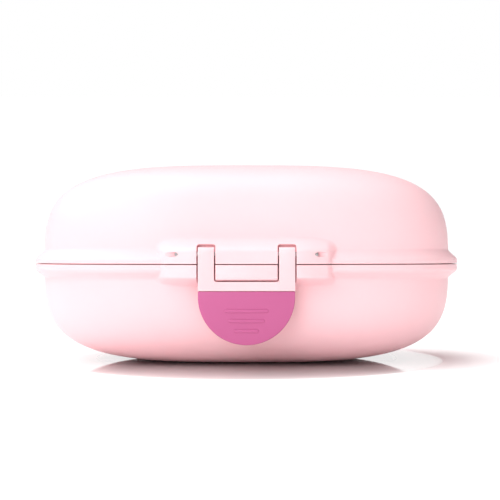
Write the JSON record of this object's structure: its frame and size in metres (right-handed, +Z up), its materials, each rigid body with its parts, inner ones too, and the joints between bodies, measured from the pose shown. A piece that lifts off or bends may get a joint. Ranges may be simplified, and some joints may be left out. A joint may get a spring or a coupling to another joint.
{
  "type": "clip-latch snack box",
  "caption": "Hinged clamshell food box with a domed lid, a matching base, a rim bead, a front swing latch on a steel pin and a rear pin hinge.",
  "frame": {"origin": "centre of the flat foot under the base, on the surface that the box stands on", "axes": "+Z up, +X to the right of someone who faces the latch, -Y towards that person"},
  "size_m": [0.147, 0.1224, 0.068],
  "materials": {
    "shell_plastic": "soft-touch matte, pale pink",
    "seal_silicone": "translucent white silicone, satin",
    "divider_plastic": "satin, whitish pink",
    "latch_plastic": "fine satin, very pale pink",
    "tab_plastic": "satin, hot pink",
    "pin_steel": "bright drawn stainless wire"
  },
  "bodies": {
    "base": {"base_shell": "shell_plastic", "hinge_pin": "pin_steel", "divider": "divider_plastic"},
    "lid": {"lid_shell": "shell_plastic", "seal_ring": "seal_silicone", "latch_pin": "pin_steel"},
    "latch": {"latch_frame": "latch_plastic", "latch_face": "tab_plastic"}
  },
  "joints": [
    {"name": "lid_hinge", "type": "hinge", "parent": "base", "child": "lid", "pos_m": [0, 0.0594, 0.034], "axis": [-1, 0, 0], "range_deg": [0, 110]},
    {"name": "latch_hinge", "type": "hinge", "parent": "lid", "child": "latch", "pos_m": [0, -0.0577, 0.0372], "axis": [-1, 0, 0], "range_deg": [0, 105]}
  ]
}
